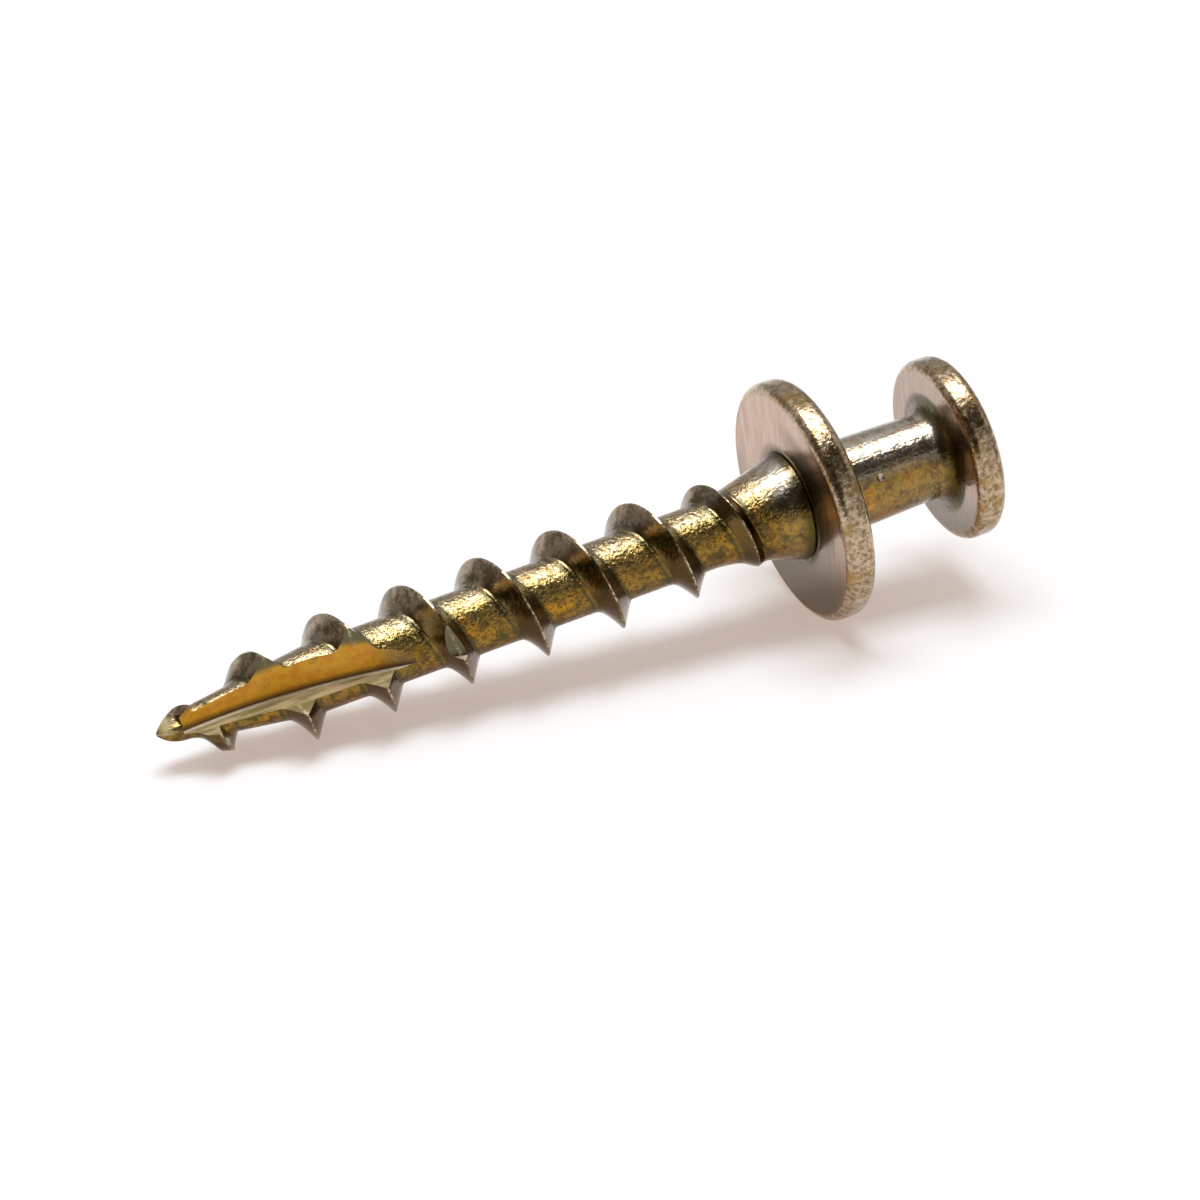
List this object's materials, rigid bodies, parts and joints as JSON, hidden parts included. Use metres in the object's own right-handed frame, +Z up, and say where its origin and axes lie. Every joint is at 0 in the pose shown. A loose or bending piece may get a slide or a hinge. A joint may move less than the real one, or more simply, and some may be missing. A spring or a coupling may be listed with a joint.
{
  "type": "picture hanging screw",
  "caption": "Coarse threaded hanging screw with a slotted point, a broad wall flange, a bare neck for a picture's wire and a round head with a cross recess.",
  "frame": {"origin": "bottom centre of the bounding box, on the floor the screw lies on", "axes": "+X along the length, from the point towards the head, +Z up, +Y to the left seen from the point"},
  "size_m": [0.0452, 0.0126, 0.0127],
  "materials": {
    "plated_steel": "yellow zinc plating, mottled, half bright"
  },
  "bodies": {
    "root": {"screw": "plated_steel"}
  },
  "joints": []
}
